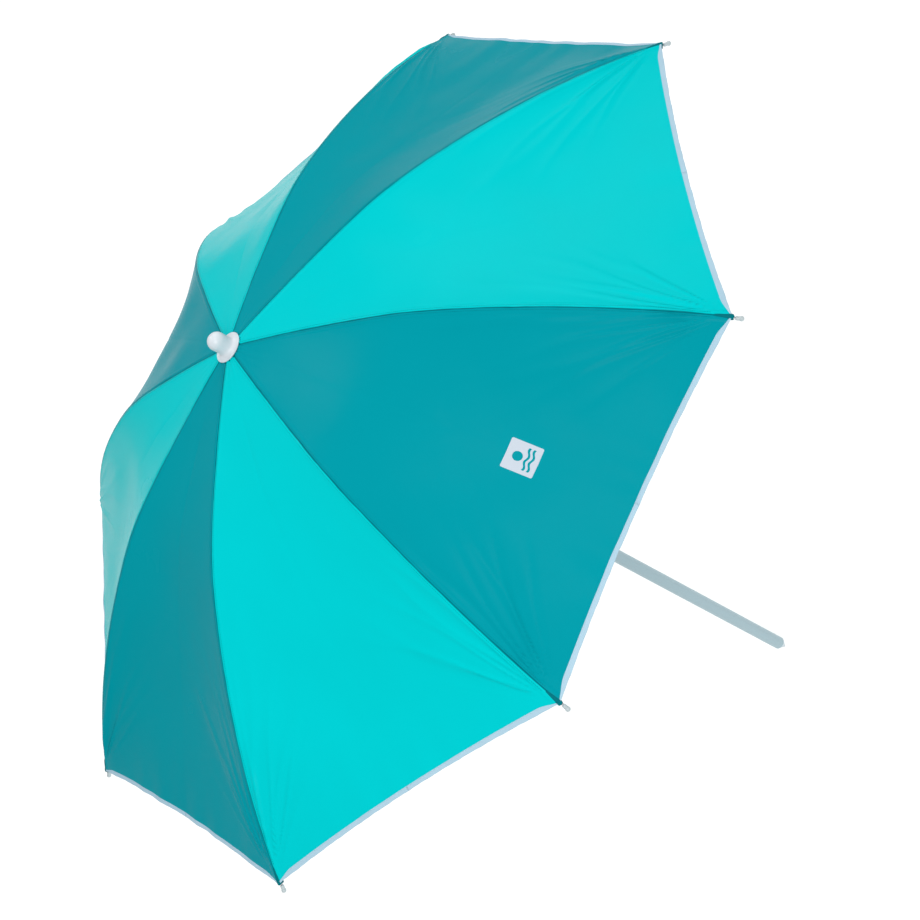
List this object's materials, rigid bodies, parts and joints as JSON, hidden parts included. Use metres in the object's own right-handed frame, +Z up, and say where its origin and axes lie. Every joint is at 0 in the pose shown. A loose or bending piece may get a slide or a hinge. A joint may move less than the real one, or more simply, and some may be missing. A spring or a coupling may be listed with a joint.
{
  "type": "beach umbrella",
  "caption": "Beach umbrella with a domed panelled canopy on folding ribs, a tilting head and a two-part sliding ground pole with a clamp and a spike.",
  "frame": {"origin": "point of the ground spike, on the pole's axis", "axes": "+Z up the pole towards the finial, +X along the first rib, umbrella open and upright"},
  "size_m": [1.46, 1.46, 1.3377],
  "materials": {
    "canopy_cloth": "thin woven polyester with a soft sheen, in two teals",
    "hem_tape": "woven binding tape",
    "white_plastic": "moulded, smooth",
    "grey_plastic": "moulded, satin",
    "pole_paint": "light grey powder coat on steel tube",
    "steel_wire": "bright zinc-plated wire"
  },
  "bodies": {
    "ground": {"ground_spike": "white_plastic", "ground_tube": "pole_paint", "clamp_collar": "white_plastic"},
    "clamp_handle": {"clamp_screw": "steel_wire", "clamp_knob": "white_plastic"},
    "mast": {"mast_tube": "pole_paint", "tilt_fork": "white_plastic", "tilt_pin": "steel_wire"},
    "tilt_release": {"tilt_button": "grey_plastic"},
    "canopy_head": {"tilt_tongue": "white_plastic", "canopy_pole": "pole_paint", "crown": "white_plastic", "crown_wire": "steel_wire", "finial": "white_plastic", "canopy": "canopy_cloth", "hem_tape": "hem_tape"},
    "runner": {"runner": "white_plastic", "runner_wire": "steel_wire"},
    "runner_release": {"runner_button": "grey_plastic"},
    "rib_1": {"inner_rib_1": "steel_wire"},
    "rib_end_1": {"outer_rib_1": "steel_wire", "rib_joint_1": "white_plastic", "rib_tip_1": "white_plastic"},
    "stay_1": {"stretcher_1": "steel_wire"},
    "rib_2": {"inner_rib_2": "steel_wire"},
    "rib_end_2": {"outer_rib_2": "steel_wire", "rib_joint_2": "white_plastic", "rib_tip_2": "white_plastic"},
    "stay_2": {"stretcher_2": "steel_wire"},
    "rib_3": {"inner_rib_3": "steel_wire"},
    "rib_end_3": {"outer_rib_3": "steel_wire", "rib_joint_3": "white_plastic", "rib_tip_3": "white_plastic"},
    "stay_3": {"stretcher_3": "steel_wire"},
    "rib_4": {"inner_rib_4": "steel_wire"},
    "rib_end_4": {"outer_rib_4": "steel_wire", "rib_joint_4": "white_plastic", "rib_tip_4": "white_plastic"},
    "stay_4": {"stretcher_4": "steel_wire"},
    "rib_5": {"inner_rib_5": "steel_wire"},
    "rib_end_5": {"outer_rib_5": "steel_wire", "rib_joint_5": "white_plastic", "rib_tip_5": "white_plastic"},
    "stay_5": {"stretcher_5": "steel_wire"},
    "rib_6": {"inner_rib_6": "steel_wire"},
    "rib_end_6": {"outer_rib_6": "steel_wire", "rib_joint_6": "white_plastic", "rib_tip_6": "white_plastic"},
    "stay_6": {"stretcher_6": "steel_wire"},
    "rib_7": {"inner_rib_7": "steel_wire"},
    "rib_end_7": {"outer_rib_7": "steel_wire", "rib_joint_7": "white_plastic", "rib_tip_7": "white_plastic"},
    "stay_7": {"stretcher_7": "steel_wire"},
    "rib_8": {"inner_rib_8": "steel_wire"},
    "rib_end_8": {"outer_rib_8": "steel_wire", "rib_joint_8": "white_plastic", "rib_tip_8": "white_plastic"},
    "stay_8": {"stretcher_8": "steel_wire"}
  },
  "joints": [
    {"name": "height_slide", "type": "slide", "parent": "ground", "child": "mast", "axis": [0, 0, 1], "range_m": [0, 0.3]},
    {"name": "clamp_turn", "type": "hinge", "parent": "ground", "child": "clamp_handle", "pos_m": [0, -0.02, 0.501], "axis": [0, -1, 0], "range_deg": [-360, 0]},
    {"name": "tilt", "type": "hinge", "parent": "mast", "child": "canopy_head", "pos_m": [0, 0, 0.594], "axis": [0, 1, 0], "range_deg": [0, 45]},
    {"name": "tilt_release_press", "type": "slide", "parent": "mast", "child": "tilt_release", "axis": [0, 1, 0], "range_m": [0, 0.003], "stiffness_N_per_m": 900, "springref_m": -0.001},
    {"name": "runner_slide", "type": "slide", "parent": "canopy_head", "child": "runner", "axis": [0, 0, -1], "range_m": [0, 0.47461], "deforming": ["canopy", "hem_tape"]},
    {"name": "runner_release_press", "type": "slide", "parent": "runner", "child": "runner_release", "axis": [-0.9239, -0.3827, 0], "range_m": [0, 0.0024], "stiffness_N_per_m": 700, "springref_m": -0.001},
    {"name": "rib_fold_1", "type": "hinge", "parent": "canopy_head", "child": "rib_1", "pos_m": [0.018, 0, 1.29593], "axis": [0, 1, 0], "range_deg": [0, 70.11]},
    {"name": "rib_bend_1", "type": "hinge", "parent": "rib_1", "child": "rib_end_1", "pos_m": [0.31, 0, 1.2395], "axis": [0, 1, 0], "range_deg": [-17.06, 0]},
    {"name": "stay_swing_1", "type": "hinge", "parent": "rib_1", "child": "stay_1", "pos_m": [0.31, 0, 1.2395], "axis": [0, 1, 0], "range_deg": [-140.17, 0]},
    {"name": "rib_fold_2", "type": "hinge", "parent": "canopy_head", "child": "rib_2", "pos_m": [0.01273, 0.01273, 1.29593], "axis": [-0.7071, 0.7071, 0], "range_deg": [0, 70.11]},
    {"name": "rib_bend_2", "type": "hinge", "parent": "rib_2", "child": "rib_end_2", "pos_m": [0.2192, 0.2192, 1.2395], "axis": [-0.7071, 0.7071, 0], "range_deg": [-17.06, 0]},
    {"name": "stay_swing_2", "type": "hinge", "parent": "rib_2", "child": "stay_2", "pos_m": [0.2192, 0.2192, 1.2395], "axis": [-0.7071, 0.7071, 0], "range_deg": [-140.17, 0]},
    {"name": "rib_fold_3", "type": "hinge", "parent": "canopy_head", "child": "rib_3", "pos_m": [0, 0.018, 1.29593], "axis": [-1, 0, 0], "range_deg": [0, 70.11]},
    {"name": "rib_bend_3", "type": "hinge", "parent": "rib_3", "child": "rib_end_3", "pos_m": [0, 0.31, 1.2395], "axis": [-1, 0, 0], "range_deg": [-17.06, 0]},
    {"name": "stay_swing_3", "type": "hinge", "parent": "rib_3", "child": "stay_3", "pos_m": [0, 0.31, 1.2395], "axis": [-1, 0, 0], "range_deg": [-140.17, 0]},
    {"name": "rib_fold_4", "type": "hinge", "parent": "canopy_head", "child": "rib_4", "pos_m": [-0.01273, 0.01273, 1.29593], "axis": [-0.7071, -0.7071, 0], "range_deg": [0, 70.11]},
    {"name": "rib_bend_4", "type": "hinge", "parent": "rib_4", "child": "rib_end_4", "pos_m": [-0.2192, 0.2192, 1.2395], "axis": [-0.7071, -0.7071, 0], "range_deg": [-17.06, 0]},
    {"name": "stay_swing_4", "type": "hinge", "parent": "rib_4", "child": "stay_4", "pos_m": [-0.2192, 0.2192, 1.2395], "axis": [-0.7071, -0.7071, 0], "range_deg": [-140.17, 0]},
    {"name": "rib_fold_5", "type": "hinge", "parent": "canopy_head", "child": "rib_5", "pos_m": [-0.018, 0, 1.29593], "axis": [0, -1, 0], "range_deg": [0, 70.11]},
    {"name": "rib_bend_5", "type": "hinge", "parent": "rib_5", "child": "rib_end_5", "pos_m": [-0.31, 0, 1.2395], "axis": [0, -1, 0], "range_deg": [-17.06, 0]},
    {"name": "stay_swing_5", "type": "hinge", "parent": "rib_5", "child": "stay_5", "pos_m": [-0.31, 0, 1.2395], "axis": [0, -1, 0], "range_deg": [-140.17, 0]},
    {"name": "rib_fold_6", "type": "hinge", "parent": "canopy_head", "child": "rib_6", "pos_m": [-0.01273, -0.01273, 1.29593], "axis": [0.7071, -0.7071, 0], "range_deg": [0, 70.11]},
    {"name": "rib_bend_6", "type": "hinge", "parent": "rib_6", "child": "rib_end_6", "pos_m": [-0.2192, -0.2192, 1.2395], "axis": [0.7071, -0.7071, 0], "range_deg": [-17.06, 0]},
    {"name": "stay_swing_6", "type": "hinge", "parent": "rib_6", "child": "stay_6", "pos_m": [-0.2192, -0.2192, 1.2395], "axis": [0.7071, -0.7071, 0], "range_deg": [-140.17, 0]},
    {"name": "rib_fold_7", "type": "hinge", "parent": "canopy_head", "child": "rib_7", "pos_m": [0, -0.018, 1.29593], "axis": [1, 0, 0], "range_deg": [0, 70.11]},
    {"name": "rib_bend_7", "type": "hinge", "parent": "rib_7", "child": "rib_end_7", "pos_m": [0, -0.31, 1.2395], "axis": [1, 0, 0], "range_deg": [-17.06, 0]},
    {"name": "stay_swing_7", "type": "hinge", "parent": "rib_7", "child": "stay_7", "pos_m": [0, -0.31, 1.2395], "axis": [1, 0, 0], "range_deg": [-140.17, 0]},
    {"name": "rib_fold_8", "type": "hinge", "parent": "canopy_head", "child": "rib_8", "pos_m": [0.01273, -0.01273, 1.29593], "axis": [0.7071, 0.7071, 0], "range_deg": [0, 70.11]},
    {"name": "rib_bend_8", "type": "hinge", "parent": "rib_8", "child": "rib_end_8", "pos_m": [0.2192, -0.2192, 1.2395], "axis": [0.7071, 0.7071, 0], "range_deg": [-17.06, 0]},
    {"name": "stay_swing_8", "type": "hinge", "parent": "rib_8", "child": "stay_8", "pos_m": [0.2192, -0.2192, 1.2395], "axis": [0.7071, 0.7071, 0], "range_deg": [-140.17, 0]}
  ],
  "couplings": [
    {"joint": "rib_fold_1", "follows": "runner_slide", "rad_per_m": 2.5764},
    {"joint": "rib_bend_1", "follows": "runner_slide", "rad_per_m": -0.62556},
    {"joint": "stay_swing_1", "follows": "runner_slide", "rad_per_m": -5.1528},
    {"joint": "rib_fold_2", "follows": "runner_slide", "rad_per_m": 2.5764},
    {"joint": "rib_bend_2", "follows": "runner_slide", "rad_per_m": -0.62556},
    {"joint": "stay_swing_2", "follows": "runner_slide", "rad_per_m": -5.1528},
    {"joint": "rib_fold_3", "follows": "runner_slide", "rad_per_m": 2.5764},
    {"joint": "rib_bend_3", "follows": "runner_slide", "rad_per_m": -0.62556},
    {"joint": "stay_swing_3", "follows": "runner_slide", "rad_per_m": -5.1528},
    {"joint": "rib_fold_4", "follows": "runner_slide", "rad_per_m": 2.5764},
    {"joint": "rib_bend_4", "follows": "runner_slide", "rad_per_m": -0.62556},
    {"joint": "stay_swing_4", "follows": "runner_slide", "rad_per_m": -5.1528},
    {"joint": "rib_fold_5", "follows": "runner_slide", "rad_per_m": 2.5764},
    {"joint": "rib_bend_5", "follows": "runner_slide", "rad_per_m": -0.62556},
    {"joint": "stay_swing_5", "follows": "runner_slide", "rad_per_m": -5.1528},
    {"joint": "rib_fold_6", "follows": "runner_slide", "rad_per_m": 2.5764},
    {"joint": "rib_bend_6", "follows": "runner_slide", "rad_per_m": -0.62556},
    {"joint": "stay_swing_6", "follows": "runner_slide", "rad_per_m": -5.1528},
    {"joint": "rib_fold_7", "follows": "runner_slide", "rad_per_m": 2.5764},
    {"joint": "rib_bend_7", "follows": "runner_slide", "rad_per_m": -0.62556},
    {"joint": "stay_swing_7", "follows": "runner_slide", "rad_per_m": -5.1528},
    {"joint": "rib_fold_8", "follows": "runner_slide", "rad_per_m": 2.5764},
    {"joint": "rib_bend_8", "follows": "runner_slide", "rad_per_m": -0.62556},
    {"joint": "stay_swing_8", "follows": "runner_slide", "rad_per_m": -5.1528}
  ]
}
